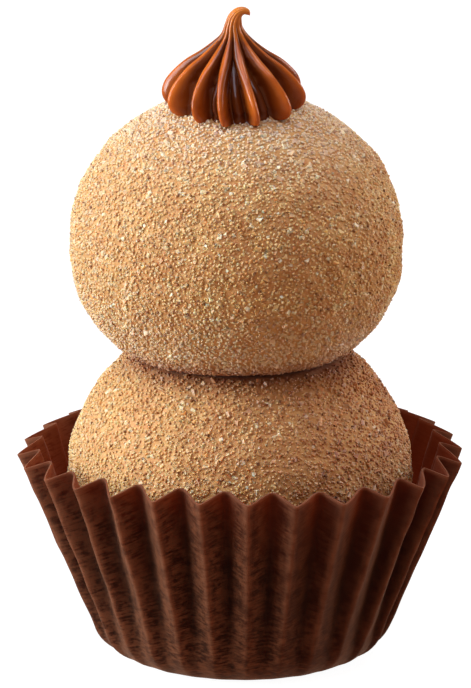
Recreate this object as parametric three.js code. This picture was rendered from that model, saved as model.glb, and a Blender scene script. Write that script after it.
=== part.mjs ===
// A two-ball brigadeiro: sugared balls stacked in a fluted paper case, with a star of caramel piped on top.
// Millimetres, +Z up. The origin is the middle of the paper case's flat underside.

import * as THREE from "three";

// Paper case. Lengths along the paper run from the edge of the flat bottom up to the rim.
const CASE_BOTTOM_RADIUS = 9.5;
const CASE_CORNER_RADIUS = 4.2;
const CASE_LEAN = THREE.MathUtils.degToRad(22);
const CASE_WALL_LENGTH = 16.55;
const CASE_PAPER = 0.3;
const PLEAT_COUNT = 28;
const PLEAT_DEPTH = 2.0;
const PLEAT_DEEPENING = 0.9;
const PLEAT_START = THREE.MathUtils.degToRad(1.8);
const PLEAT_SWAY = 0.012;
const PLEAT_DEPTH_SPREAD = 0.1;
// Shares of a pleat's pitch: half the width of an outer ridge, half that of an inner fold, and where the inner
// fold lies, which leans away from the front and the back towards the sides.
const RIDGE_HALF = 0.08;
const FOLD_HALF = 0.08;
const FOLD_MIDDLE = 0.52;
const FOLD_LEAN = 0.13;
const RIM_WAVER = 0.42;
// At its front the rim stands a little higher and closer in than at its sides and back.
const FRONT_RISE = 0.45;
const FRONT_NARROWING = 0.45;
const CORNER_ROWS = 4;
const WALL_ROWS = 4;

// Each ball is widest at its waist, with one half-height above it and another below it. Fullness swells or
// slims it between the waist and the pole.
const BALL_COLUMNS = 40;
const BALL_ROWS = 17;
const LUMP_SHARE = 0.007;
const SEAT_GAP = 0.3;
const CONTACT_HEIGHT = 27.5;
const LOWER_BALL = {
  x: -0.25,
  radius: 15.3,
  waist: 15.8,
  above: 14.6,
  below: 15.4,
  fullAbove: 0,
  fullBelow: -0.07,
  bottom: CASE_PAPER + SEAT_GAP,
  top: CONTACT_HEIGHT - SEAT_GAP / 2,
  phase: 0.4,
};
const UPPER_BALL = {
  x: -0.5,
  radius: 14.55,
  waist: 36.9,
  above: 13.7,
  below: 12.4,
  fullAbove: 0.03,
  fullBelow: 0.02,
  bottom: CONTACT_HEIGHT + SEAT_GAP / 2,
  top: Infinity,
  phase: 2.1,
};

// Piped star: its ribs follow this outline of radius and height above the crown of the upper ball.
const RIB_COUNT = 12;
const RIB_COLUMNS = 6;
const RIB_TWIST = 0.03;
const RIB_SWAY = 0.07;
const RIB_SPREAD = 0.03;
const RIB_HALF = 0.32;
const RIB_BLUNTNESS = 0.7;
const SHALLOW_GROOVE = 0.12;
const STAR_X = -0.7;
const STAR_Y = -1.2;
const STAR_UNDERSIDE_RADII = [2.8, 5.2];
const STAR_OUTLINE = [
  { radius: 5.75, height: -0.75, groove: 0.2 },
  { radius: 6.15, height: -0.2, groove: 0.26 },
  { radius: 6.25, height: 0.5, groove: 0.3 },
  { radius: 5.9, height: 1.35, groove: 0.33 },
  { radius: 5.15, height: 2.25, groove: 0.34 },
  { radius: 4.25, height: 3.1, groove: 0.34 },
  { radius: 3.02, height: 3.95, groove: 0.33 },
  { radius: 1.94, height: 4.85, groove: 0.3 },
  { radius: 1.18, height: 5.65, groove: 0.24 },
];
// The drawn-out tip bends over to +X: drift from the star's axis, height, radius and turn of each ring.
const TIP_RINGS = [
  { drift: -0.05, height: 6.45, radius: 0.82, turn: 8 },
  { drift: 0.08, height: 7.1, radius: 0.68, turn: 28 },
  { drift: 0.4, height: 7.62, radius: 0.5, turn: 58 },
  { drift: 0.86, height: 7.8, radius: 0.35, turn: 95 },
  { drift: 1.22, height: 7.64, radius: 0.24, turn: 125 },
];
const TIP_END = { drift: 1.38, height: 7.4 };

const FULL_TURN = 2 * Math.PI;

// One closed body from a start point, rings of points that run counter-clockwise, and an end point.
function ringBody(start, rings, end) {
  const columns = rings[0].length;
  const points = [start, ...rings.flat(), end];
  const corner = (ring, column) => 1 + ring * columns + (column % columns);
  const last = rings.length - 1;
  const triangles = [];
  for (let column = 0; column < columns; column++) {
    triangles.push(0, corner(0, column + 1), corner(0, column));
    triangles.push(corner(last, column), corner(last, column + 1), points.length - 1);
    for (let ring = 0; ring < last; ring++) {
      const [a, b] = [corner(ring, column), corner(ring, column + 1)];
      const [c, d] = [corner(ring + 1, column + 1), corner(ring + 1, column)];
      triangles.push(a, b, c, a, c, d);
    }
  }
  const geometry = new THREE.BufferGeometry().setFromPoints(points);
  geometry.setIndex(triangles);
  geometry.computeVertexNormals();
  return geometry;
}

// A slow uneven wave round a full turn, between about -1 and 1.
function unevenness(angle, phase) {
  const slow = Math.sin(2 * angle + phase) + Math.sin(3 * angle + 2.3 * phase);
  return 0.4 * slow + 0.2 * Math.sin(7 * angle + 5.1 * phase);
}

// Radius, height and outward direction of the smooth case at a length along the paper.
function caseOutline(length) {
  const cornerLength = CASE_CORNER_RADIUS * (Math.PI / 2 - CASE_LEAN);
  const along = Math.min(length, cornerLength);
  const facing = along / CASE_CORNER_RADIUS - Math.PI / 2;
  const straight = length - along;
  return {
    facing,
    radius: CASE_BOTTOM_RADIUS + CASE_CORNER_RADIUS * Math.cos(facing) + straight * Math.sin(CASE_LEAN),
    height: CASE_CORNER_RADIUS * (1 + Math.sin(facing)) + straight * Math.cos(CASE_LEAN),
  };
}

// Corners of a pleat, as shares of its pitch: two on the outer ridge, then two on the inner fold.
function pleatCorners(ridgeAngle) {
  const fold = FOLD_MIDDLE + FOLD_LEAN * Math.cos(ridgeAngle);
  return [
    { share: -RIDGE_HALF, inset: 0 },
    { share: RIDGE_HALF, inset: 0 },
    { share: fold - FOLD_HALF, inset: 1 },
    { share: fold + FOLD_HALF, inset: 1 },
  ];
}

// A ring of the pleated paper at a length along it, on the outer face or a paper's thickness inside it.
function caseRing(length, fullLength, thickness) {
  const outline = caseOutline(length);
  const rise = length / fullLength;
  const ring = [];
  for (let pleat = 0; pleat < PLEAT_COUNT; pleat++) {
    const ridgeAngle = PLEAT_START + (FULL_TURN * pleat) / PLEAT_COUNT;
    for (const { share, inset } of pleatCorners(ridgeAngle)) {
      const angle = ridgeAngle + (FULL_TURN * share) / PLEAT_COUNT;
      const front = rise * Math.max(0, -Math.sin(angle)) ** 2;
      const sway = PLEAT_SWAY * rise * unevenness(angle, 1.3);
      const flare = RIM_WAVER * rise * unevenness(angle, 1.9) - FRONT_NARROWING * front;
      const fullDepth = PLEAT_DEPTH * (1 + PLEAT_DEPTH_SPREAD * unevenness(angle, 0.6));
      const depth = fullDepth * rise ** PLEAT_DEEPENING;
      const inward = inset * depth + thickness - flare;
      const radius = outline.radius - inward * Math.cos(outline.facing);
      const height = outline.height - inward * Math.sin(outline.facing) + FRONT_RISE * front;
      ring.push(new THREE.Vector3(radius * Math.cos(angle + sway), radius * Math.sin(angle + sway), height));
    }
  }
  return ring;
}

function paperCase() {
  const cornerLength = CASE_CORNER_RADIUS * (Math.PI / 2 - CASE_LEAN);
  const fullLength = cornerLength + CASE_WALL_LENGTH;
  const lengths = [];
  for (let row = 0; row < CORNER_ROWS; row++) {
    lengths.push((cornerLength * row) / CORNER_ROWS);
  }
  for (let row = 0; row <= WALL_ROWS; row++) {
    lengths.push(cornerLength + (CASE_WALL_LENGTH * row) / WALL_ROWS);
  }
  const outside = lengths.map((length) => caseRing(length, fullLength, 0));
  const inside = lengths.map((length) => caseRing(length, fullLength, CASE_PAPER));
  const underside = new THREE.Vector3(0, 0, 0);
  const floor = new THREE.Vector3(0, 0, CASE_PAPER);
  return ringBody(underside, [...outside, ...inside.reverse()], floor);
}

// Height of a ball's surface at a latitude, and its radius there, fuller or leaner than a true oval.
function ballOutline(ball, latitude) {
  const [half, fullness] = latitude < 0 ? [ball.below, ball.fullBelow] : [ball.above, ball.fullAbove];
  return {
    radius: ball.radius * Math.cos(latitude) * (1 + fullness * Math.abs(Math.sin(2 * latitude))),
    height: ball.waist + half * Math.sin(latitude),
  };
}

// A slightly lumpy ball, flat where it rests below and where it carries another above.
function sugaredBall(ball) {
  const lowest = Math.asin((ball.bottom - ball.waist) / ball.below);
  const reach = Math.min(1, (ball.top - ball.waist) / ball.above);
  const highest = Math.asin(reach);
  // A ball with no flat top leaves out the ring of no radius at its pole.
  const steps = reach < 1 ? BALL_ROWS - 1 : BALL_ROWS;
  const rings = [];
  for (let row = 0; row < BALL_ROWS; row++) {
    const latitude = THREE.MathUtils.lerp(lowest, highest, row / steps);
    const { radius, height } = ballOutline(ball, latitude);
    const ring = [];
    for (let column = 0; column < BALL_COLUMNS; column++) {
      const angle = (FULL_TURN * column) / BALL_COLUMNS;
      const lumpy = radius * (1 + LUMP_SHARE * unevenness(angle + 0.6 * latitude, ball.phase));
      ring.push(new THREE.Vector3(ball.x + lumpy * Math.cos(angle), lumpy * Math.sin(angle), height));
    }
    rings.push(ring);
  }
  const bottom = new THREE.Vector3(ball.x, 0, ball.bottom);
  const top = new THREE.Vector3(ball.x, 0, Math.min(ball.top, ball.waist + ball.above));
  return ringBody(bottom, rings, top);
}

// How far the upper ball's crown falls away at a radius from its top.
function crownDrop(radius) {
  return UPPER_BALL.above * (1 - Math.sqrt(1 - (radius / UPPER_BALL.radius) ** 2));
}

// A ring of the star: round ribs with wide grooves between them, turned about the Y direction.
function starRing({ drift = 0, height, radius, groove = SHALLOW_GROOVE, turn = 0 }) {
  const lean = THREE.MathUtils.degToRad(turn);
  const columns = RIB_COUNT * RIB_COLUMNS;
  const ring = [];
  for (let column = 0; column < columns; column++) {
    const offRib = Math.abs((column % RIB_COLUMNS) / RIB_COLUMNS - 0.5);
    const bulge = Math.max(0, 1 - (offRib / RIB_HALF) ** 2) ** RIB_BLUNTNESS;
    const turned = (FULL_TURN * column) / columns;
    const angle = turned + RIB_SWAY * unevenness(turned, 0.9) - RIB_TWIST * height;
    const spread = 1 + RIB_SPREAD * unevenness(turned, 2.6);
    const reach = radius * (1 - groove * (1 - bulge)) * spread;
    const along = reach * Math.cos(angle);
    ring.push(
      new THREE.Vector3(
        drift + along * Math.cos(lean),
        reach * Math.sin(angle),
        height - along * Math.sin(lean),
      ),
    );
  }
  return ring;
}

// The star stands at its own origin, hollowed underneath to sit on the crown.
function caramelStar() {
  const underside = STAR_UNDERSIDE_RADII.map((radius) =>
    starRing({ radius, height: SEAT_GAP - crownDrop(radius) }),
  );
  const rings = [...underside, ...STAR_OUTLINE.map(starRing), ...TIP_RINGS.map(starRing)];
  const seat = new THREE.Vector3(0, 0, SEAT_GAP);
  const end = new THREE.Vector3(TIP_END.drift, 0, TIP_END.height);
  return ringBody(seat, rings, end);
}

// Moves the star off the crown's middle and stands it square on the curve there.
function seatStar(star) {
  const offCentre = Math.abs(STAR_Y);
  const slope = (UPPER_BALL.above * offCentre) / UPPER_BALL.radius ** 2;
  star.position.set(STAR_X, STAR_Y, UPPER_BALL.waist + UPPER_BALL.above - crownDrop(offCentre));
  star.rotation.x = Math.atan(slope);
  return star;
}

function subPart(name, geometry, color, roughness) {
  const material = new THREE.MeshStandardMaterial({ color, roughness, metalness: 0 });
  const mesh = new THREE.Mesh(geometry, material);
  mesh.name = name;
  return mesh;
}

const brigadeiro = new THREE.Group();
brigadeiro.add(
  subPart("paper_case", paperCase(), 0x4f2a1a, 0.75),
  subPart("lower_ball", sugaredBall(LOWER_BALL), 0xc0905c, 0.8),
  subPart("upper_ball", sugaredBall(UPPER_BALL), 0xc89a64, 0.8),
  seatStar(subPart("caramel_swirl", caramelStar(), 0x8a431c, 0.25)),
);

export default brigadeiro;
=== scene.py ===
"""A two-ball brigadeiro: sugared fudge balls stacked in a fluted paper case, under a star of piped caramel.

Shapes are worked out in millimetres and become metres when a mesh is finished. The frame's origin is the
middle of the case's flat underside, +Z is up and the front faces -Y. Angles run counter-clockwise from +X.
"""

import logging
import math
from dataclasses import dataclass
from enum import Enum
from typing import Callable, Union

import bmesh
import bpy
import numpy as np
from mathutils import Matrix, Vector, noise


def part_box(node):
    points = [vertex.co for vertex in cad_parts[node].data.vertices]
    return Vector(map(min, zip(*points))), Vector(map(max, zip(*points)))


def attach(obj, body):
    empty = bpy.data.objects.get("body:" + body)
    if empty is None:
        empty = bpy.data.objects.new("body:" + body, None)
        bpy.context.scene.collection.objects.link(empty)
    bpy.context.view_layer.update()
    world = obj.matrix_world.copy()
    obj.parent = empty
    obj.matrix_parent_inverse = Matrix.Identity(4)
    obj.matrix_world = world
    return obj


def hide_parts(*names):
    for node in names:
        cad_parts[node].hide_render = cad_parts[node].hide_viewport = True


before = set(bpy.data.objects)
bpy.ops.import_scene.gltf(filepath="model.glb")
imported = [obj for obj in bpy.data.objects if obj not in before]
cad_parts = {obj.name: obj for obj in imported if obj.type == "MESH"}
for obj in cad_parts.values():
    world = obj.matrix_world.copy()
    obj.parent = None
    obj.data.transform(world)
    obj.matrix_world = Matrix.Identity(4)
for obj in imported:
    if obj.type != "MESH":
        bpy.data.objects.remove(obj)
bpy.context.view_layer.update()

MM = 0.001
FULL_TURN = 2 * math.pi
BODY = "root"
LOG = logging.getLogger("brigadeiro")

Colour = tuple[float, float, float]
Value = Union["Wire", float]


class Finish(Enum):
    """The record's material slots."""

    PAPER = "greaseproof_paper"
    FUDGE = "sugared_fudge"
    CARAMEL = "caramel"


class GrainCut(Enum):
    """How a grain is cut before it is stretched and turned."""

    BLOCK = "block"
    PRISM = "prism"
    CHIP = "chip"


# -------------------------------- shader graphs


class Wire:
    """One output of a node, with arithmetic that adds Math nodes."""

    def __init__(self, graph: "Graph", socket: bpy.types.NodeSocket) -> None:
        """Keeps the graph and the socket."""
        self.graph = graph
        self.socket = socket

    def __add__(self, other: Value) -> "Wire":
        """This value plus another."""
        return self.graph.math("ADD", self, other)

    def __sub__(self, other: Value) -> "Wire":
        """This value less another."""
        return self.graph.math("SUBTRACT", self, other)

    def __rsub__(self, other: Value) -> "Wire":
        """Another value less this one."""
        return self.graph.math("SUBTRACT", other, self)

    def __mul__(self, other: Value) -> "Wire":
        """This value times another."""
        return self.graph.math("MULTIPLY", self, other)

    def __pow__(self, other: Value) -> "Wire":
        """This value raised to a power."""
        return self.graph.math("POWER", self, other)

    __radd__ = __add__
    __rmul__ = __mul__

    def fraction(self) -> "Wire":
        """What is left of this value past its whole number."""
        return self.graph.math("FRACT", self, 0.0)

    def size(self) -> "Wire":
        """This value without its sign."""
        return self.graph.math("ABSOLUTE", self, 0.0)

    def between(self, low: float, high: float) -> "Wire":
        """This value as a clamped share of the way from low to high.

        Args:
            low: The value that becomes 0.
            high: The value that becomes 1.

        Returns:
            The share, from 0 to 1.
        """
        inputs = {"Value": self, "From Min": low, "From Max": high}
        return self.graph.add("ShaderNodeMapRange", {"clamp": True}, inputs)


class Graph:
    """The nodes of one new material, or of a new world."""

    def __init__(self, name: str, for_world: bool = False) -> None:
        """Starts an empty graph.

        Args:
            name: The material's or the world's name.
            for_world: Whether it is for a world.
        """
        self.owner = (bpy.data.worlds if for_world else bpy.data.materials).new(name)
        self.owner.use_nodes = True
        self.nodes = self.owner.node_tree.nodes
        self.links = self.owner.node_tree.links
        self.nodes.clear()
        self.output = "ShaderNodeOutputWorld" if for_world else "ShaderNodeOutputMaterial"

    def add(self, kind: str, settings: dict, inputs: dict, output: Union[int, str] = 0) -> Wire:
        """Adds a node, with its settings first and its sockets after them.

        Args:
            kind: The node's type.
            settings: Its properties by name, with a colour ramp's stops under "stops".
            inputs: Values or wires by the socket's name or number.
            output: The output that the wire is taken from.

        Returns:
            The wire from that output.
        """
        node = self.nodes.new(kind)
        for name, value in settings.items():
            if name == "stops":
                self._set_stops(node.color_ramp, value)
            else:
                setattr(node, name, value)
        for name, value in inputs.items():
            if isinstance(value, Wire):
                self.links.new(value.socket, node.inputs[name])
            else:
                node.inputs[name].default_value = value
        return Wire(self, node.outputs[output])

    @staticmethod
    def _set_stops(ramp: bpy.types.ColorRamp, stops: list[tuple[float, Colour]]) -> None:
        """Gives a ramp its stops.

        Args:
            ramp: The ramp of a new node, which has two stops.
            stops: Places from 0 to 1 with their colours, in order.
        """
        while len(ramp.elements) < len(stops):
            ramp.elements.new(1.0)
        for element, (place, colour) in zip(ramp.elements, stops):
            element.position = place
            element.color = (*colour, 1.0)

    def math(self, operation: str, first: Value, second: Value) -> Wire:
        """A Math node on two values."""
        return self.add("ShaderNodeMath", {"operation": operation}, {0: first, 1: second})

    def place(self) -> Wire:
        """The point on the piece, in metres."""
        return self.add("ShaderNodeTexCoord", {}, {}, "Object")

    def noise(self, place: Wire, size: float, detail: float = 2.0, roughness: float = 0.5) -> Wire:
        """Smooth noise from 0 to 1.

        Args:
            place: The coordinates.
            size: The size of its features, in the coordinates' own unit.
            detail: How many finer layers it has.
            roughness: How strong the finer layers are.

        Returns:
            The noise.
        """
        inputs = {"Vector": place, "Scale": 1 / size, "Detail": detail, "Roughness": roughness}
        return self.add("ShaderNodeTexNoise", {}, inputs)

    def blend(self, share: Value, first: Union[Wire, Colour], second: Union[Wire, Colour]) -> Wire:
        """A colour between two colours.

        Args:
            share: 0 for the first, 1 for the second.
            first: The first colour.
            second: The second colour.

        Returns:
            The mixed colour.
        """
        ends = [c if isinstance(c, Wire) else (*c, 1.0) for c in (first, second)]
        inputs = {0: share, 6: ends[0], 7: ends[1]}
        return self.add("ShaderNodeMix", {"data_type": "RGBA"}, inputs, 2)

    def bump(self, height: Wire, depth: float) -> Wire:
        """A normal that stands for fine relief.

        Args:
            height: The relief, from 0 to 1.
            depth: What 1 stands for, in millimetres.

        Returns:
            The normal.
        """
        return self.add("ShaderNodeBump", {}, {"Height": height, "Distance": depth * MM, "Strength": 1.0})

    def finish(self, shader: Wire) -> Union[bpy.types.Material, bpy.types.World]:
        """Puts a shader on the output and gives the finished material or world."""
        self.links.new(shader.socket, self.nodes.new(self.output).inputs["Surface"])
        return self.owner


# -------------------------------- finishes


@dataclass(frozen=True)
class GreaseproofPaper:
    """Dark brown baking paper: thin, fibrous with a soft nap, and red where light comes through it.

    It is painted lighter towards -X, where the lamps light it most, and darker towards +X, as painted light
    and shade. Its outer ridges carry a painted highlight and its inner folds painted shade. Sizes are in
    millimetres.
    """

    dark: Colour = (0.028, 0.0074, 0.0027)
    light: Colour = (0.178, 0.063, 0.0280)
    # The pale colour of the painted highlight along the outer ridges, also laid on the rim's edge.
    pale_ridge_and_rim: Colour = (0.27, 0.120, 0.065)
    # Near black painted shade in the inner folds.
    painted_valley_shade: Colour = (0.010, 0.0020, 0.0007)
    nap: Colour = (1.0, 0.60, 0.40)
    nap_share: float = 0.22
    through: Colour = (0.60, 0.175, 0.062)
    through_share: float = 0.36
    shine: float = 0.09
    fibres_around: float = 110.0
    fibres_up: float = 120.0
    fibre_depth: float = 0.09
    blotch_size: float = 1.1
    # The painted highlight along the outer ridges: the size of its patches, its strength and its width.
    highlight_patch_size: float = 0.9
    ridge_highlight_share: float = 0.6
    crest_width: float = 0.13
    # The width and strength of the painted shade in the inner folds.
    valley_shade_width: float = 0.30
    valley_shade_share: float = 0.8
    edge_from: float = 0.985
    edge_share: float = 0.5
    # Painted light and shade across the case: where the tone starts to fall, where it stops, its height on
    # the lit side and how far it falls.
    lit_side_at: float = -19.0
    shaded_side_at: float = 12.0
    lit_side_tone: float = 1.95
    side_shading: float = 1.52

    def material(self, case: "PaperCase") -> bpy.types.Material:
        """Makes the paper.

        Args:
            case: The case, for the lines of its ridges and folds on the paper's own map.

        Returns:
            The material.
        """
        graph = Graph("greaseproof_paper")
        place = graph.place()
        paper = graph.add("ShaderNodeUVMap", {"uv_map": "paper"}, {})
        around = graph.add("ShaderNodeSeparateXYZ", {}, {0: paper}, "X")
        up = graph.add("ShaderNodeSeparateXYZ", {}, {0: paper}, "Y")
        weave = {"X": around * self.fibres_around, "Y": up * self.fibres_up}
        fibre = graph.noise(graph.add("ShaderNodeCombineXYZ", {}, weave), 1.0, 2.0, 0.6)
        blotch = graph.noise(place, self.blotch_size * MM, 4.0, 0.7)
        share = (around * float(case.pleats)).fraction()
        # Painted highlight along the outer ridges, broken into patches.
        to_crest = (0.5 - (share - 0.5).size()).between(self.crest_width, 0.0)
        ridge_highlight = to_crest * graph.noise(place, self.highlight_patch_size * MM).between(0.2, 0.6) * up.between(0.2, 0.6)
        # Painted shade in the inner folds, which lean as the folds do.
        angle = around * FULL_TURN + case.pleat_start
        middle = graph.math("COSINE", angle, 0.0) * case.fold_lean + case.fold_middle
        hidden = (share - middle).size().between(self.valley_shade_width, 0.0) * up.between(0.15, 0.5)
        edge = up.between(self.edge_from, 0.996)
        # Painted light and shade: lighter towards -X, where the lamps light the paper most, darker towards
        # +X.
        across = graph.add("ShaderNodeSeparateXYZ", {}, {0: place}, "X")
        side_shade = across.between(self.lit_side_at * MM, self.shaded_side_at * MM)
        relief = fibre * 0.5 + blotch * 0.5
        tone = relief.between(0.43, 0.60) * (self.lit_side_tone - side_shade * self.side_shading)
        body = graph.blend(tone, self.dark, self.light)
        shaded = graph.blend(hidden * self.valley_shade_share, body, self.painted_valley_shade)
        highlighted = graph.blend(ridge_highlight * self.ridge_highlight_share, shaded, self.pale_ridge_and_rim)
        colour = graph.blend(edge * self.edge_share, highlighted, self.pale_ridge_and_rim)
        sheet = graph.add(
            "ShaderNodeBsdfPrincipled",
            {},
            {
                "Base Color": colour,
                "Roughness": 0.42 + blotch * 0.2,
                "Normal": graph.bump(relief, self.fibre_depth),
                "Specular IOR Level": self.shine,
                "Sheen Weight": self.nap_share,
                "Sheen Tint": (*self.nap, 1.0),
            },
        )
        glow = graph.add("ShaderNodeBsdfTranslucent", {}, {"Color": (*self.through, 1.0)})
        both = {0: self.through_share, 1: sheet, 2: glow}
        return graph.finish(graph.add("ShaderNodeMixShader", {}, both))


@dataclass(frozen=True)
class RolledFudge:
    """The fudge under the grains: golden brown, caked with sugar and cinnamon, and darker near the seam
    between the balls, as painted shade.

    Sizes are in millimetres.
    """

    pale: Colour = (0.66, 0.375, 0.150)
    deep: Colour = (0.50, 0.240, 0.076)
    russet: Colour = (0.51, 0.203, 0.076)
    # Painted shade near the seam where the balls meet.
    seam_shade: Colour = (0.17, 0.030, 0.008)
    patch_size: float = 3.5
    mottle_size: float = 0.7
    dust_size: float = 0.22
    relief_depth: float = 0.10
    glow: float = 0.5
    glow_depth: float = 0.75
    shine: float = 0.3
    haze: float = 0.1

    def material(self, ball: "SugaredBall") -> bpy.types.Material:
        """Makes the fudge.

        Args:
            ball: The ball, for the height of its seam, near which shade is painted.

        Returns:
            The material.
        """
        graph = Graph("rolled_fudge")
        place = graph.place()
        patch = graph.noise(place, self.patch_size * MM, 3.0).between(0.38, 0.62)
        mottle = graph.noise(place, self.mottle_size * MM, 3.0, 0.6).between(0.35, 0.68)
        dust = graph.noise(place, self.dust_size * MM, 2.0, 0.6)
        ground = graph.blend(mottle, self.deep, self.pale)
        dry = graph.blend(patch * dust.between(0.42, 0.66), ground, self.russet)
        height = graph.add("ShaderNodeSeparateXYZ", {}, {0: place}, "Z")
        # Painted shade near the seam between the balls.
        near_seam = (height - ball.SEAM * MM).size().between(ball.seam_shade_reach * MM, 0.0)
        colour = graph.blend(near_seam**1.5, dry, self.seam_shade)
        relief = dust * 0.6 + mottle * 0.4
        fudge = graph.add(
            "ShaderNodeBsdfPrincipled",
            {},
            {
                "Base Color": colour,
                "Roughness": 0.62 + dust * 0.2,
                "Normal": graph.bump(relief, self.relief_depth),
                "Subsurface Weight": self.glow,
                "Subsurface Radius": (1.0, 0.6, 0.35),
                "Subsurface Scale": self.glow_depth * MM,
                "Specular IOR Level": self.shine,
                "Sheen Weight": self.haze,
                "Sheen Tint": (*GrainFinish.HAZE, 1.0),
            },
        )
        return graph.finish(fudge)


@dataclass(frozen=True)
class GrainFinish:
    """Sugar or spice whose colour each grain carries itself."""

    name: str
    roughness: float
    glow: float
    shine: float
    haze: float

    # The pale haze of sugar dust that shows where a surface is seen edge on.
    HAZE = (1.0, 0.93, 0.8)
    # The milky clouding inside a grain, with its size and its glow's depth in millimetres.
    CLOUD = (0.86, 0.66, 0.44)
    CLOUD_SHARE = 0.08
    CLOUD_SIZE = 0.2
    GLOW_DEPTH = 0.45

    def material(self) -> bpy.types.Material:
        """Makes the grains' material.

        Returns:
            The material.
        """
        graph = Graph(self.name)
        own = graph.add("ShaderNodeVertexColor", {"layer_name": Grains.COLOUR_LAYER}, {})
        cloud = graph.noise(graph.place(), self.CLOUD_SIZE * MM, 1.0)
        clouded = graph.blend(cloud * self.CLOUD_SHARE, own, self.CLOUD)
        grain = graph.add(
            "ShaderNodeBsdfPrincipled",
            {},
            {
                "Base Color": clouded,
                "Roughness": self.roughness + cloud * 0.1,
                "Subsurface Weight": self.glow,
                "Subsurface Radius": (1.0, 0.7, 0.45),
                "Subsurface Scale": self.GLOW_DEPTH * MM,
                "Specular IOR Level": self.shine,
                "Sheen Weight": self.haze,
                "Sheen Tint": (*self.HAZE, 1.0),
            },
        )
        return graph.finish(grain)


@dataclass(frozen=True)
class Caramel:
    """Thick milk caramel: glossy, brown in the mass and amber where it is drawn thin.

    Its grooves carry painted shade, except where it is drawn thin. Sizes are in millimetres, and heights are
    above the star's seat.
    """

    deep: Colour = (0.29, 0.055, 0.0060)
    warm: Colour = (0.54, 0.125, 0.0135)
    amber: Colour = (0.62, 0.20, 0.028)
    # Painted shade in the grooves between the ribs.
    groove: Colour = (0.075, 0.012, 0.002)
    amber_from: float = 5.2
    amber_to: float = 8.0
    amber_share: float = 0.8
    groove_shade_share: float = 0.88
    streak_size: float = 2.2
    ripple_size: float = 0.8
    ripple_depth: float = 0.03
    glow: float = 0.15
    glow_depth: float = 0.7
    shine: float = 0.3

    def material(self, seat_height: float, ribs: int) -> bpy.types.Material:
        """Makes the caramel.

        Args:
            seat_height: The height at which the star sits, in millimetres.
            ribs: How many ribs the star's own map has round it.

        Returns:
            The material.
        """
        graph = Graph("caramel")
        place = graph.place()
        height = graph.add("ShaderNodeSeparateXYZ", {}, {0: place}, "Z")
        low, high = ((seat_height + rise) * MM for rise in (self.amber_from, self.amber_to))
        streak = graph.noise(place, self.streak_size * MM, 2.0).between(0.3, 0.7)
        mass = graph.blend(streak, self.deep, self.warm)
        drawn = height.between(low, high)
        piping = graph.add("ShaderNodeUVMap", {"uv_map": "piping"}, {})
        around = graph.add("ShaderNodeSeparateXYZ", {}, {0: piping}, "X")
        # Painted shade from the ribs' flanks into the grooves, fading out where the caramel is drawn thin.
        off_rib = ((around * float(ribs)).fraction() - 0.5).size()
        groove_shade = off_rib.between(0.07, 0.22) * (1.0 - drawn)
        shaded = graph.blend(groove_shade * self.groove_shade_share, mass, self.groove)
        colour = graph.blend(drawn * self.amber_share, shaded, self.amber)
        ripple = graph.noise(place, self.ripple_size * MM, 2.0)
        caramel = graph.add(
            "ShaderNodeBsdfPrincipled",
            {},
            {
                "Base Color": colour,
                "Roughness": 0.13 + ripple * 0.1,
                "Normal": graph.bump(ripple, self.ripple_depth),
                "Subsurface Weight": self.glow,
                "Subsurface Radius": (1.0, 0.30, 0.10),
                "Subsurface Scale": self.glow_depth * MM,
                "Specular IOR Level": self.shine,
            },
        )
        return graph.finish(caramel)


# -------------------------------- shapes


def slow_wave(angle: np.ndarray, phase: float) -> np.ndarray:
    """A slow uneven wave round a full turn, between about -1 and 1."""
    slow = np.sin(2 * angle + phase) + np.sin(3 * angle + 2.3 * phase)
    return 0.4 * slow + 0.2 * np.sin(7 * angle + 5.1 * phase)


def noise_at(points: np.ndarray, size: float, seed: float) -> np.ndarray:
    """Smooth noise between about -1 and 1.

    Args:
        points: Points in millimetres, one a row.
        size: The size of its features, in millimetres.
        seed: Moves the noise, so that two uses differ.

    Returns:
        The noise at each point.
    """
    shift = Vector((seed, -seed, 2 * seed))
    return np.array([noise.noise(Vector(point) / size + shift) for point in points])


def smooth_through(knots: np.ndarray, place: np.ndarray) -> np.ndarray:
    """Values on a smooth curve through knots.

    Args:
        knots: The values at the whole numbers, one knot a row.
        place: Where to read the curve, from 0 to the last knot's number.

    Returns:
        A row of values for each place.
    """
    last = len(knots) - 1
    index = np.clip(np.floor(place).astype(int), 0, last - 1)
    part = (place - index)[:, None]
    start, end = knots[index], knots[index + 1]
    before, after = knots[np.maximum(index - 1, 0)], knots[np.minimum(index + 2, last)]
    straight = (end - before) * part
    bend = (2 * before - 5 * start + 4 * end - after) * part**2
    turn = (3 * (start - end) + after - before) * part**3
    return start + 0.5 * (straight + bend + turn)


def ramp(values: np.ndarray, low: float, high: float) -> np.ndarray:
    """A slope from 0 at low to 1 at high, a little eased at both ends."""
    share = np.clip((values - low) / (high - low), 0, 1)
    return 0.7 * share + 0.3 * share**2 * (3 - 2 * share)


def rolled_sheet(
    columns: int, rows: int, place: Callable[[np.ndarray, np.ndarray], np.ndarray], uv_map: str
) -> bmesh.types.BMesh:
    """A flat grid rolled into a closed or open shell, with its seam and its poles merged.

    Args:
        columns: Faces round the shell.
        rows: Faces from its start to its end.
        place: Gives the points, in millimetres, from the shares round and along the shell.
        uv_map: The name of the map that keeps those shares.

    Returns:
        The shell.
    """
    shell = bmesh.new()
    shell.loops.layers.uv.new(uv_map)
    bmesh.ops.create_grid(shell, x_segments=columns, y_segments=rows, size=1.0, calc_uvs=True)
    flat = np.array([vert.co[:2] for vert in shell.verts])
    around, along = (flat.T + 1) / 2
    for vert, point in zip(shell.verts, place(around, along)):
        vert.co = point
    bmesh.ops.remove_doubles(shell, verts=shell.verts, dist=0.002)
    bmesh.ops.recalc_face_normals(shell, faces=shell.faces)
    return shell


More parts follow.
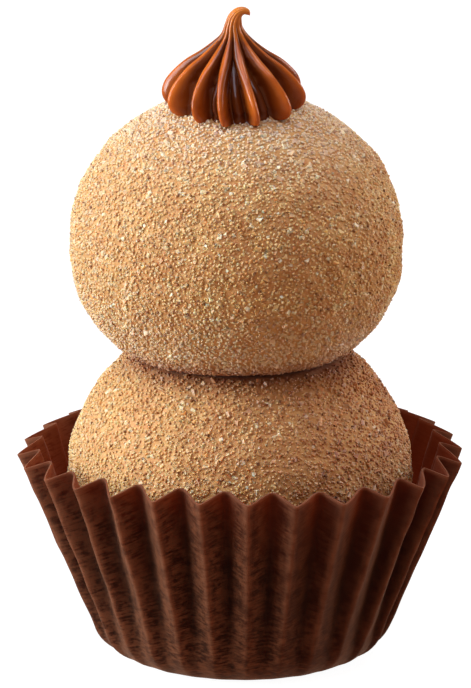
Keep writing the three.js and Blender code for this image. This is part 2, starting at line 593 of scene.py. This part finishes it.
def finished(shape: bmesh.types.BMesh, name: str, crisp_angle: float = 180.0) -> bpy.types.Object:
    """Turns a shape in millimetres into an object in metres.

    Args:
        shape: The shape, which is freed.
        name: The piece's name.
        crisp_angle: Edges that turn more than this, in degrees, stay crisp.

    Returns:
        The object, at the origin.
    """
    bmesh.ops.scale(shape, vec=Vector((MM, MM, MM)), verts=shape.verts)
    for face in shape.faces:
        face.smooth = True
    mesh = bpy.data.meshes.new(name)
    shape.to_mesh(mesh)
    shape.free()
    mesh.set_sharp_from_angle(angle=math.radians(crisp_angle))
    return linked(mesh)


def linked(mesh: bpy.types.Mesh) -> bpy.types.Object:
    """Puts a mesh in the scene.

    Args:
        mesh: The mesh.

    Returns:
        Its object, which has the mesh's name.
    """
    piece = bpy.data.objects.new(mesh.name, mesh)
    bpy.context.scene.collection.objects.link(piece)
    return piece


def settle(piece: bpy.types.Object, material: bpy.types.Material) -> None:
    """Dresses a piece, puts it on the body and reports it.

    Args:
        piece: The piece.
        material: Its material.
    """
    piece.data.materials.append(material)
    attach(piece, BODY)
    LOG.info("%s: %d faces", piece.name, len(piece.data.polygons))


# -------------------------------- paper case


@dataclass
class PaperCase:
    """A fluted paper case, pleated from the edge of its flat bottom up to the rim."""

    bottom_radius: float = 9.5
    corner_radius: float = 4.2
    lean: float = math.radians(22)
    wall_length: float = 16.55
    paper: float = 0.14
    pleats: int = 28
    pleat_start: float = math.radians(1.8)
    pleat_depth: float = 2.0
    pleat_deepening: float = 0.9
    pleat_sway: float = 0.012
    pleat_depth_spread: float = 0.1
    fold_middle: float = 0.54
    fold_lean: float = 0.24
    ridge_half: float = 0.02
    fold_half: float = 0.05
    rim_waver: float = 0.42
    front_rise: float = 0.45
    front_narrowing: float = 0.45
    crumple: float = 0.12
    columns_per_pleat: int = 20
    wall_rows: int = 44
    bottom_rows: int = 4

    @property
    def corner_length(self) -> float:
        """Paper in the turn from the bottom to the wall."""
        return self.corner_radius * (math.pi / 2 - self.lean)

    def fold(self, share: np.ndarray, angle: np.ndarray) -> np.ndarray:
        """How far in the paper is folded, from 0 on an outer ridge to 1 on an inner fold.

        Args:
            share: The place within a pleat, from 0 on one outer ridge to 1 on the next.
            angle: The angle round the case. The inner folds lean towards the back at its sides.

        Returns:
            The inset.
        """
        middle = self.fold_middle + self.fold_lean * np.cos(angle)
        inward = ramp(share, self.ridge_half, middle - self.fold_half)
        outward = ramp(share, middle + self.fold_half, 1 - self.ridge_half)
        return inward - outward

    def place(self, around: np.ndarray, along: np.ndarray) -> np.ndarray:
        """Points on the paper's outer face.

        Args:
            around: Shares of a full turn.
            along: Shares of the rows, from the middle of the bottom to the rim.

        Returns:
            The points, in millimetres.
        """
        angle = FULL_TURN * around + self.pleat_start
        rows = along * (self.wall_rows + self.bottom_rows) - self.bottom_rows
        full = self.corner_length + self.wall_length
        length = np.clip(rows / self.wall_rows, 0, 1) * full
        flat = np.clip(1 + rows / self.bottom_rows, 0, 1)
        rise = length / full
        facing = np.minimum(length, self.corner_length) / self.corner_radius - math.pi / 2
        straight = np.maximum(length - self.corner_length, 0)
        radius = self.bottom_radius + self.corner_radius * np.cos(facing) + straight * math.sin(self.lean)
        height = self.corner_radius * (1 + np.sin(facing)) + straight * math.cos(self.lean)
        front = rise * np.maximum(0, -np.sin(angle)) ** 2
        flare = self.rim_waver * rise * slow_wave(angle, 1.9) - self.front_narrowing * front
        full_depth = self.pleat_depth * (1 + self.pleat_depth_spread * slow_wave(angle, 0.6))
        depth = full_depth * rise**self.pleat_deepening * ramp(rise, 0.0, 0.25)
        inset = self.fold(np.mod(around * self.pleats, 1.0), angle) * depth
        rough = np.column_stack((radius * np.cos(angle), radius * np.sin(angle), height))
        dents = self.crumple * (noise_at(rough, 2.2, 3.0) - 0.5) * np.minimum(1, 3 * rise)
        inward = inset - flare - dents
        radius = (radius - inward * np.cos(facing)) * flat
        height = height - inward * np.sin(facing) + self.front_rise * front
        angle = angle + self.pleat_sway * rise * slow_wave(angle, 1.3)
        return np.column_stack((radius * np.cos(angle), radius * np.sin(angle), height))

    def build(self) -> None:
        """Folds the paper, gives it its thickness and dresses it."""
        sheet = rolled_sheet(
            self.pleats * self.columns_per_pleat, self.wall_rows + self.bottom_rows, self.place, "paper"
        )
        lowest = min(sheet.faces, key=lambda face: face.calc_center_median().z)
        if lowest.normal.z > 0:
            bmesh.ops.reverse_faces(sheet, faces=sheet.faces)
        bmesh.ops.solidify(sheet, geom=sheet.faces, thickness=self.paper)
        # The rim's new faces come in no fixed order, so every face is numbered by where it lies.
        placed = sorted(sheet.faces, key=lambda face: tuple(face.calc_center_median()))
        for number, face in enumerate(placed):
            face.index = number
        sheet.faces.sort()
        piece = finished(sheet, "fluted_case", 60.0)
        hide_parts("paper_case")
        settle(piece, GreaseproofPaper().material(self))


# -------------------------------- grains


@dataclass(frozen=True)
class GrainMix:
    """One kind of grain on a ball, with sizes in millimetres."""

    kind: str
    count: int
    smallest: float
    largest: float
    flatness: float
    sunk: float
    soft: bool
    cuts: tuple[GrainCut, ...]
    shades: tuple[Colour, ...]
    weights: tuple[float, ...]
    finish: GrainFinish


COARSE_SUGAR = GrainMix(
    kind="coarse_sugar",
    count=7000,
    smallest=0.24,
    largest=0.64,
    flatness=0.7,
    sunk=0.47,
    soft=False,
    cuts=(GrainCut.BLOCK, GrainCut.PRISM, GrainCut.CHIP),
    # The first, palest shade is pale sugar that also stands in for sparkle, partly a painted highlight.
    shades=((0.91, 0.68, 0.43), (0.68, 0.395, 0.166), (0.61, 0.325, 0.123), (0.51, 0.236, 0.078)),
    weights=(0.12, 0.38, 0.35, 0.15),
    finish=GrainFinish("coarse_sugar", 0.32, 0.85, 0.36, 0.1),
)
FINE_SUGAR = GrainMix(
    kind="fine_sugar",
    count=16500,
    smallest=0.12,
    largest=0.25,
    flatness=0.8,
    sunk=0.30,
    soft=True,
    cuts=(GrainCut.BLOCK,),
    shades=((0.70, 0.420, 0.190), (0.62, 0.338, 0.127), (0.52, 0.246, 0.080)),
    weights=(0.30, 0.42, 0.28),
    finish=GrainFinish("fine_sugar", 0.38, 0.8, 0.4, 0.1),
)
CINNAMON = GrainMix(
    kind="cinnamon",
    count=1800,
    smallest=0.12,
    largest=0.27,
    flatness=0.5,
    sunk=0.05,
    soft=True,
    cuts=(GrainCut.CHIP,),
    shades=((0.17, 0.055, 0.013), (0.28, 0.100, 0.026), (0.38, 0.140, 0.042)),
    weights=(0.40, 0.35, 0.25),
    finish=GrainFinish("cinnamon", 0.85, 0.0, 0.15, 0.0),
)


class Grains:
    """Scatters grains over a ball as one joined mesh."""

    COLOUR_LAYER = "grain_colour"
    GOLDEN_ANGLE = math.pi * (3 - math.sqrt(5))
    # How far the colour drifts over the ball in red, green and blue, and how far neighbours differ.
    DRIFT = (0.23, 0.37, 0.47)
    NEIGHBOUR_SPREAD = 0.07
    # The two shapes of the beta draw for sizes, which favours the smaller grains.
    SIZE_SHAPES = (1.6, 2.6)

    def __init__(self, mix: GrainMix, seed: int) -> None:
        """Keeps the kind of grain and starts its own random draws."""
        self.mix = mix
        self.random = np.random.default_rng(seed)

    @staticmethod
    def template(cut: GrainCut) -> tuple[np.ndarray, np.ndarray]:
        """Cuts one grain, about 1 across and centred.

        Args:
            cut: The kind of cut.

        Returns:
            Its points and its triangles.
        """
        grain = bmesh.new()
        if cut is GrainCut.PRISM:
            bmesh.ops.create_cone(
                grain, cap_ends=True, segments=6, radius1=0.55, radius2=0.42, depth=0.95
            )
        else:
            bmesh.ops.create_cube(grain, size=1.0)
        if cut is GrainCut.CHIP:
            bmesh.ops.bisect_plane(
                grain,
                geom=[*grain.verts, *grain.edges, *grain.faces],
                plane_co=(0.22, 0.22, 0.22),
                plane_no=(1.0, 0.8, 0.6),
                clear_outer=True,
            )
            bmesh.ops.holes_fill(grain, edges=grain.edges, sides=8)
        bmesh.ops.triangulate(grain, faces=grain.faces)
        bmesh.ops.recalc_face_normals(grain, faces=grain.faces)
        grain.verts.index_update()
        points = np.array([vert.co for vert in grain.verts])
        triangles = np.array([[vert.index for vert in face.verts] for face in grain.faces])
        grain.free()
        return points, triangles

    def directions(self) -> np.ndarray:
        """Spreads unit vectors evenly over a sphere and shakes them.

        Returns:
            The vectors, one a row.
        """
        count = self.mix.count
        height = 1 - 2 * (np.arange(count) + 0.5) / count
        level = np.sqrt(1 - height**2)
        angle = self.GOLDEN_ANGLE * np.arange(count)
        even = np.column_stack((level * np.cos(angle), level * np.sin(angle), height))
        shaken = even + self.random.normal(0, 0.9 / math.sqrt(count), even.shape)
        return shaken / np.linalg.norm(shaken, axis=1)[:, None]

    def turns(self, count: int) -> np.ndarray:
        """Draws random turns.

        Args:
            count: How many.

        Returns:
            Their matrices.
        """
        w, x, y, z = (q := self.random.normal(size=(4, count))) / np.linalg.norm(q, axis=0)
        rows = [
            [1 - 2 * (y * y + z * z), 2 * (x * y - w * z), 2 * (x * z + w * y)],
            [2 * (x * y + w * z), 1 - 2 * (x * x + z * z), 2 * (y * z - w * x)],
            [2 * (x * z - w * y), 2 * (y * z + w * x), 1 - 2 * (x * x + y * y)],
        ]
        return np.array(rows).transpose(2, 0, 1)

    def shades(self, points: np.ndarray) -> np.ndarray:
        """A colour for each grain, which drifts over the ball and differs from its neighbours.

        Args:
            points: The grains' middles, in millimetres.

        Returns:
            Colours with an alpha of 1.
        """
        choice = self.random.choice(len(self.mix.shades), size=len(points), p=self.mix.weights)
        colours = np.array(self.mix.shades)[choice]
        patches = noise_at(points, 3.2, 7.0) + 0.6 * noise_at(points, 1.1, 4.0)
        drift = 1 + patches[:, None] * self.DRIFT
        spread = 1 + self.NEIGHBOUR_SPREAD * self.random.normal(size=(len(points), 1))
        return np.column_stack((np.clip(colours * drift * spread, 0.01, 0.95), np.ones(len(points))))

    def scatter(self, ball: "SugaredBall") -> None:
        """Covers a ball with this kind of grain.

        Args:
            ball: The ball.
        """
        directions = self.directions()
        surface = ball.surface(directions)
        shown = ball.is_sugared(surface)
        directions, surface = directions[shown], surface[shown]
        count = len(surface)
        spread = self.random.beta(*self.SIZE_SHAPES, count)
        size = self.mix.smallest + (self.mix.largest - self.mix.smallest) * spread
        stretch = self.random.uniform(self.mix.flatness, 1.1, (count, 3)) * size[:, None]
        depth = ball.sugar_depth * 0.5 + self.mix.sunk * size
        middles = surface - directions * depth[:, None]
        turns = self.turns(count)
        shades = ball.tint(middles, self.shades(middles))
        cuts = self.random.integers(len(self.mix.cuts), size=count)
        points, triangles, colours = [], [], []
        start = 0
        for number, cut in enumerate(self.mix.cuts):
            mine = np.flatnonzero(cuts == number)
            corners, faces = self.template(cut)
            stretched = corners[None] * stretch[mine][:, None]
            placed = np.einsum("nij,nkj->nki", turns[mine], stretched) + middles[mine][:, None]
            points.append(placed.reshape(-1, 3))
            first = start + len(corners) * np.arange(len(mine))
            triangles.append((faces[None] + first[:, None, None]).reshape(-1, 3))
            colours.append(np.repeat(shades[mine], len(corners), axis=0))
            start += len(corners) * len(mine)
        self._join(ball, np.concatenate(points), np.concatenate(triangles), np.concatenate(colours))

    def _join(
        self, ball: "SugaredBall", points: np.ndarray, triangles: np.ndarray, colours: np.ndarray
    ) -> None:
        """Makes the grains one piece.

        Args:
            ball: The ball that carries them.
            points: All their corners, in millimetres.
            triangles: All their triangles.
            colours: The colour at each corner.
        """
        mesh = bpy.data.meshes.new(f"{ball.name}_{self.mix.kind}")
        mesh.from_pydata((points * MM).tolist(), [], triangles.tolist())
        layer = mesh.color_attributes.new(self.COLOUR_LAYER, "FLOAT_COLOR", "POINT")
        layer.data.foreach_set("color", colours.astype(np.float32).ravel())
        if self.mix.soft:
            mesh.shade_smooth()
        settle(linked(mesh), self.mix.finish.material())


# -------------------------------- balls


@dataclass
class SugaredBall:
    """A fudge ball rolled in sugar and cinnamon, with sizes in millimetres.

    It is widest at its waist, with one half-height above it and another below, and it is fuller or leaner
    than a true oval by a share of its own for each half. Its grains carry the coating's colours with painted
    light and shade laid into them.
    """

    name: str
    node: str
    x: float
    radius: float
    waist: float
    above: float
    below: float
    full_above: float
    full_below: float
    phase: float
    seed: int
    sugared_from: float
    bare_top: float
    bare_middle: tuple[float, float]
    # Painted light and shade in the grains: paler crown and underside, lit -X side, shaded +X side and shaded
    # seam.
    lightened_from: float = 200.0
    lightening_reach: float = 5.0
    seam_shade_reach: float = 2.2
    painted_side_light: float = 0.55
    painted_side_shade: float = 0.0
    underside_lightening: float = 0.0
    lump_share: float = 0.007
    bumpiness: float = 0.16
    sugar_depth: float = 0.18
    press: float = 0.12
    core_detail: int = 7

    # The height at which the two balls touch.
    SEAM = 27.5
    # A pale colour that stands partly for loose sugar and partly for painted light, from above at the crown
    # and from below at the underside; the most of it that the crown takes; and the height below which an
    # underside takes it.
    PALE_SUGAR_AND_LIGHT = np.array((0.86, 0.66, 0.53))
    CROWN_LIGHTENING = 0.5
    LIGHTENED_BELOW = 35.0
    # The shares of red, green and blue that painted light adds on the lit -X side, and that painted shade
    # takes away on the +X side and at the seam.
    SIDE_LIGHT_SHARES = (0.0, 0.04, 0.10)
    SIDE_SHADE_SHARES = (0.5, 0.8, 0.8)
    SEAM_SHADE_SHARES = (0.64, 0.86, 0.90)

    def __post_init__(self) -> None:
        """Reads the heights between which the ball is pressed flat from its node."""
        low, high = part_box(self.node)
        self.bottom = low.z / MM
        self.top = high.z / MM

    def surface(self, directions: np.ndarray) -> np.ndarray:
        """Points on the sugared outside.

        Args:
            directions: Unit vectors from the ball's middle.

        Returns:
            The points, in millimetres.
        """
        latitude = np.arcsin(np.clip(directions[:, 2], -1, 1))
        angle = np.arctan2(directions[:, 1], directions[:, 0])
        half = np.where(latitude < 0, self.below, self.above)
        fullness = np.where(latitude < 0, self.full_below, self.full_above)
        radius = self.radius * np.cos(latitude) * (1 + fullness * np.abs(np.sin(2 * latitude)))
        radius *= 1 + self.lump_share * slow_wave(angle + 0.6 * latitude, self.phase)
        bumps = self.bumpiness * noise_at(directions * self.radius, 2.2, 1.0 + self.seed)
        radius += bumps * np.cos(latitude)
        height = self.waist + half * np.sin(latitude) + bumps * np.sin(latitude)
        height = np.clip(height, self.bottom - self.press, self.top + self.press)
        return np.column_stack((self.x + radius * np.cos(angle), radius * np.sin(angle), height))

    def is_sugared(self, points: np.ndarray) -> np.ndarray:
        """Whether points on the surface carry grains.

        Args:
            points: The points, in millimetres.

        Returns:
            True for each point that isn't hidden or pressed flat.
        """
        x, y, z = points.T
        off_middle = np.hypot(x - self.bare_middle[0], y - self.bare_middle[1])
        pressed = (z < self.bottom + 0.05) | (z > self.top - 0.05)
        covered = (z > self.waist) & (off_middle < self.bare_top)
        return (z > self.sugared_from) & ~pressed & ~covered

    def tint(self, points: np.ndarray, colours: np.ndarray) -> np.ndarray:
        """Grain colours as the coating changes them, with painted light and shade laid into them.

        They are paler at the crown and the underside, partly pale sugar and partly painted light; paler and
        more even towards -X, as painted light; darker and browner towards +X, as painted shade; and dark at
        the seam between the balls, as painted shade.

        Args:
            points: The grains' middles, in millimetres.
            colours: Their colours, with an alpha.

        Returns:
            The tinted colours.
        """
        height = points[:, 2:]
        # Paler crown and underside: partly pale sugar, partly painted light from above and from below.
        crown = self.CROWN_LIGHTENING * np.clip((height - self.lightened_from) / self.lightening_reach, 0, 1)
        underside = self.underside_lightening * np.clip((self.LIGHTENED_BELOW - height) / self.lightening_reach, 0, 1)
        lightening = crown + underside
        # Painted shade at the seam between the balls.
        seam_shade = np.clip(1 - np.abs(height - self.SEAM) / self.seam_shade_reach, 0, 1) ** 1.5
        lightened = colours[:, :3] * (1 - lightening) + self.PALE_SUGAR_AND_LIGHT * lightening
        across = (points[:, :1] - self.x) / self.radius
        # Painted light on the lit -X side: grains paler and more even.
        dust = self.painted_side_light * np.clip(-1.3 * across, 0, 1)
        # Painted shade on the +X side: darker, browner and more varied.
        brown = self.painted_side_shade * np.clip(across + 0.5, 0, 1)
        varied = lightened + (0.5 * brown - dust) * (lightened - lightened.mean(axis=0))
        shaded = varied * (1 + dust * self.SIDE_LIGHT_SHARES) * (1 - brown * self.SIDE_SHADE_SHARES)
        shaded *= 1 - seam_shade * self.SEAM_SHADE_SHARES
        return np.column_stack((np.clip(shaded, 0.01, 0.95), colours[:, 3]))

    def build_core(self) -> None:
        """Shapes the fudge under the grains, with caked sugar in relief."""
        core = bmesh.new()
        bmesh.ops.create_icosphere(core, subdivisions=self.core_detail, radius=1.0)
        directions = np.array([vert.co.normalized() for vert in core.verts])
        surface = self.surface(directions)
        relief = 0.08 * noise_at(surface, 0.75, 5.0 + self.seed)
        points = surface - directions * (self.sugar_depth - relief)[:, None]
        for vert, point in zip(core.verts, points):
            vert.co = point
        piece = finished(core, f"{self.name}_fudge")
        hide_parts(self.node)
        settle(piece, RolledFudge().material(self))

    def build(self) -> None:
        """Builds the ball and rolls it in its grains."""
        self.build_core()
        for number, mix in enumerate((COARSE_SUGAR, FINE_SUGAR, CINNAMON)):
            Grains(mix, 10 * self.seed + number).scatter(self)


# -------------------------------- caramel star


@dataclass
class CaramelStar:
    """A star piped through a toothed nozzle onto a ball's crown, its tip drawn out and bent over.

    Sizes are in millimetres.
    """

    ball: SugaredBall
    x: float = -0.7
    y: float = -1.2
    ribs: int = 12
    columns_per_rib: int = 24
    rows_per_ring: int = 5
    twist: float = 0.03
    sway: float = 0.07
    spread: float = 0.03
    start: float = math.radians(6.5)
    rib_width: float = 1.42
    thinnest_rib: float = 0.17
    roundness: float = 0.50
    bead: float = 0.32
    bead_top: float = 3.2
    bead_fade: float = 2.0
    sunk: float = 0.15
    foot_lift: float = 0.55

    # Radius, height above the crown, groove depth as a share of the radius, drift to +X, and turn in
    # degrees.
    OUTLINE = (
        (5.75, -0.85, 0.30, 0.0, 0),
        (6.20, -0.25, 0.36, 0.0, 0),
        (6.25, 0.50, 0.40, 0.0, 0),
        (5.90, 1.35, 0.43, 0.0, 0),
        (5.16, 2.25, 0.45, 0.0, 0),
        (4.25, 3.10, 0.46, 0.0, 0),
        (3.02, 3.95, 0.44, 0.0, 0),
        (1.94, 4.85, 0.38, 0.0, 0),
        (1.18, 5.65, 0.29, 0.0, 0),
        (0.80, 6.45, 0.18, -0.05, 8),
        (0.66, 7.10, 0.12, 0.08, 28),
        (0.48, 7.62, 0.08, 0.40, 58),
        (0.33, 7.79, 0.05, 0.86, 95),
        (0.22, 7.62, 0.03, 1.22, 125),
        (0.0, 7.36, 0.0, 1.36, 140),
    )
    UNDERSIDE_RADII = (0.0, 2.8, 5.0)
    UNDERSIDE_GROOVE = 0.12

    def crown_drop(self, radius: float) -> float:
        """How far the crown falls away at a radius from its top."""
        return self.ball.above * (1 - math.sqrt(1 - (radius / self.ball.radius) ** 2))

    def rings(self) -> np.ndarray:
        """Every ring from the middle of the underside to the tip.

        Returns:
            A row for each, as in OUTLINE.
        """
        under = [
            (radius, -self.sunk - self.crown_drop(radius), self.UNDERSIDE_GROOVE, 0.0, 0.0)
            for radius in self.UNDERSIDE_RADII
        ]
        return np.array([*under, *self.OUTLINE])

    def place(self, around: np.ndarray, along: np.ndarray) -> np.ndarray:
        """Points on the caramel, in the star's own frame.

        Args:
            around: Shares of a full turn.
            along: Shares of the way from the underside's middle to the tip.

        Returns:
            The points, in millimetres.
        """
        rings = self.rings()
        knot = along * (len(rings) - 1)
        radius, height, groove, drift, turn = smooth_through(rings, knot).T
        twice_round = 2 * FULL_TURN * np.maximum(radius, 0.1)
        rib_half = np.clip(self.rib_width * self.ribs / twice_round, self.thinnest_rib, 0.5)
        off_rib = np.abs(np.mod(around * self.ribs, 1.0) - 0.5)
        rib = np.clip(1 - (off_rib / rib_half) ** 2, 0, 1) ** self.roundness
        between_ribs = np.clip(1 - ((0.5 - off_rib) / (0.53 - rib_half)) ** 2, 0, 1)
        bead = between_ribs * ramp(self.bead_top - height, 0.0, self.bead_fade)
        bulge = rib + self.bead * bead
        turned = FULL_TURN * around + self.start
        angle = turned + self.sway * slow_wave(turned, 0.9) - self.twist * height
        uneven = 1 + self.spread * slow_wave(turned, 2.6)
        reach = np.maximum(radius, 0) * (1 - groove * (1 - bulge)) * uneven
        foot = np.exp(-(((knot - len(self.UNDERSIDE_RADII) - 0.4) / 0.9) ** 2))
        height = height + self.foot_lift * foot * (1 - bulge)
        lean = np.radians(turn)
        out = reach * np.cos(angle)
        bent_over, bent_down = drift + out * np.cos(lean), height - out * np.sin(lean)
        return np.column_stack((bent_over, reach * np.sin(angle), bent_down))

    def build(self) -> None:
        """Pipes the star, seats it square on the crown and dresses it."""
        rows = (len(self.rings()) - 1) * self.rows_per_ring
        star = rolled_sheet(self.ribs * self.columns_per_rib, rows, self.place, "piping")
        slope = math.atan(self.ball.above * abs(self.y) / self.ball.radius**2)
        seat = self.ball.waist + self.ball.above - self.crown_drop(abs(self.y))
        bmesh.ops.rotate(star, cent=Vector(), matrix=Matrix.Rotation(slope, 3, "X"), verts=star.verts)
        bmesh.ops.translate(star, vec=Vector((self.x, self.y, seat)), verts=star.verts)
        piece = finished(star, "piped_star")
        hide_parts("caramel_swirl")
        settle(piece, Caramel().material(seat, self.ribs))


# -------------------------------- studio


@dataclass(frozen=True)
class Lamp:
    """A soft square lamp that faces the brigadeiro.

    Angles are in degrees, lengths in metres and power in watts.
    """

    name: str
    azimuth: float
    elevation: float
    distance: float
    size: float
    power: float
    colour: Colour

    def hang(self, target: Vector) -> None:
        """Adds the lamp.

        Args:
            target: What it faces.
        """
        data = bpy.data.lights.new(self.name, "AREA")
        data.size = self.size
        data.energy = self.power
        data.color = self.colour
        lamp = bpy.data.objects.new(self.name, data)
        bpy.context.scene.collection.objects.link(lamp)
        away = direction(self.azimuth, self.elevation)
        lamp.location = target + away * self.distance
        lamp.rotation_euler = away.to_track_quat("Z", "Y").to_euler()


def direction(azimuth: float, elevation: float) -> Vector:
    """A unit vector from angles in degrees."""
    level, rise = math.radians(azimuth), math.radians(elevation)
    return Vector((math.cos(rise) * math.cos(level), math.cos(rise) * math.sin(level), math.sin(rise)))


@dataclass
class Studio:
    """A plain pale floor, soft lamps and the camera. Lengths are in metres and the lens is in millimetres."""

    SWEEP_STEPS = 8
    FLOOR_STEPS = 64

    target: Vector
    floor_radius: float = 1.4
    sweep_radius: float = 1.4
    floor_shade: float = 0.15
    floor_glow: float = 0.96
    sky_above: Colour = (0.385, 0.240, 0.158)
    sky_below: Colour = (0.66, 0.450, 0.340)
    camera_elevation: float = 16.0
    camera_distance: float = 0.58
    lens: float = 344.8
    lamps: tuple[Lamp, ...] = (
        Lamp("key_lamp", 189.0, 25.0, 0.55, 0.42, 4.1, (0.87, 1.0, 1.10)),
        Lamp("low_lamp", 200.0, 9.0, 0.50, 0.16, 0.95, (0.92, 1.0, 1.0)),
        Lamp("top_lamp", 245.0, 74.0, 0.60, 0.40, 2.15, (0.66, 0.81, 1.06)),
        Lamp("rim_lamp", 15.0, 12.0, 0.60, 0.30, 1.4, (0.86, 0.95, 1.0)),
        Lamp("glint_lamp", 20.0, 57.0, 0.60, 0.13, 0.5, (0.9, 0.97, 1.0)),
    )

    def build_floor(self) -> None:
        """Lays a wide pale floor that sweeps up at its far edge and throws no light back."""
        floor = bmesh.new()
        bend = math.pi / 2 / self.SWEEP_STEPS
        radius, rise = self.floor_radius / MM, self.sweep_radius / MM
        turns = [step * bend for step in range(self.SWEEP_STEPS + 1)]
        sweep = [(radius + rise * math.sin(turn), rise * (1 - math.cos(turn))) for turn in turns]
        outline = [(0.0, 0.0), *sweep]
        corners = [floor.verts.new((reach, 0.0, height)) for reach, height in outline]
        edges = [floor.edges.new(pair) for pair in zip(corners, corners[1:])]
        bmesh.ops.spin(
            floor,
            geom=[*corners, *edges],
            cent=Vector(),
            axis=Vector((0.0, 0.0, 1.0)),
            angle=FULL_TURN,
            steps=self.FLOOR_STEPS,
            use_merge=True,
        )
        bmesh.ops.remove_doubles(floor, verts=floor.verts, dist=0.01)
        piece = finished(floor, "floor")
        graph = Graph("pale_floor")
        speckle = graph.noise(graph.place(), 0.4)
        shade = graph.blend(speckle, (self.floor_shade,) * 3, (self.floor_shade + 0.02,) * 3)
        inputs = {
            "Base Color": shade,
            "Roughness": 0.9,
            "Specular IOR Level": 0.0,
            "Emission Color": (1.0, 1.0, 1.0, 1.0),
            "Emission Strength": self.floor_glow,
        }
        piece.data.materials.append(graph.finish(graph.add("ShaderNodeBsdfPrincipled", {}, inputs)))
        piece.visible_diffuse = False
        piece.visible_glossy = False

    def build_sky(self) -> None:
        """Sets a warm light all round, a little stronger from below, as off a table."""
        graph = Graph("studio", for_world=True)
        way = graph.add("ShaderNodeTexCoord", {}, {}, "Generated")
        rise = graph.add("ShaderNodeSeparateXYZ", {}, {0: way}, "Z")
        colour = graph.blend(rise.between(-0.4, 0.3), self.sky_below, self.sky_above)
        bpy.context.scene.world = graph.finish(graph.add("ShaderNodeBackground", {}, {"Color": colour}))

    def build_camera(self) -> None:
        """Aims the camera at the target from the front."""
        data = bpy.data.cameras.new("camera")
        data.lens = self.lens
        data.clip_start = 0.01
        camera = bpy.data.objects.new("camera", data)
        bpy.context.scene.collection.objects.link(camera)
        away = direction(270.0, self.camera_elevation)
        camera.location = self.target + away * self.camera_distance
        camera.rotation_euler = away.to_track_quat("Z", "Y").to_euler()
        bpy.context.scene.camera = camera

    def build(self) -> None:
        """Builds the whole studio."""
        bpy.context.scene.view_settings.view_transform = "Standard"
        self.build_floor()
        self.build_sky()
        self.build_camera()
        for lamp in self.lamps:
            lamp.hang(self.target)


def main() -> None:
    """Builds the brigadeiro and its studio."""
    logging.basicConfig(level=logging.INFO, format="%(message)s")
    target = Vector((-0.59, 0.0, 27.83)) * MM
    Studio(target).build()
    PaperCase().build()
    lower = SugaredBall(
        name="lower",
        node="lower_ball",
        x=-0.25,
        radius=15.3,
        waist=15.8,
        above=14.6,
        below=15.4,
        full_above=0.0,
        full_below=-0.07,
        phase=0.4,
        seed=1,
        sugared_from=9.0,
        painted_side_shade=0.5,
        bare_top=8.6,
        bare_middle=(-0.25, 0.0),
    )
    upper = SugaredBall(
        name="upper",
        node="upper_ball",
        x=-0.5,
        radius=14.55,
        waist=36.9,
        above=13.7,
        below=12.4,
        full_above=0.03,
        full_below=0.02,
        phase=2.1,
        seed=2,
        sugared_from=0.0,
        lightened_from=44.0,
        underside_lightening=0.4,
        bare_top=4.6,
        bare_middle=(-0.7, -1.2),
    )
    lower.build()
    upper.build()
    CaramelStar(upper).build()


if __name__ == "__main__":
    main()
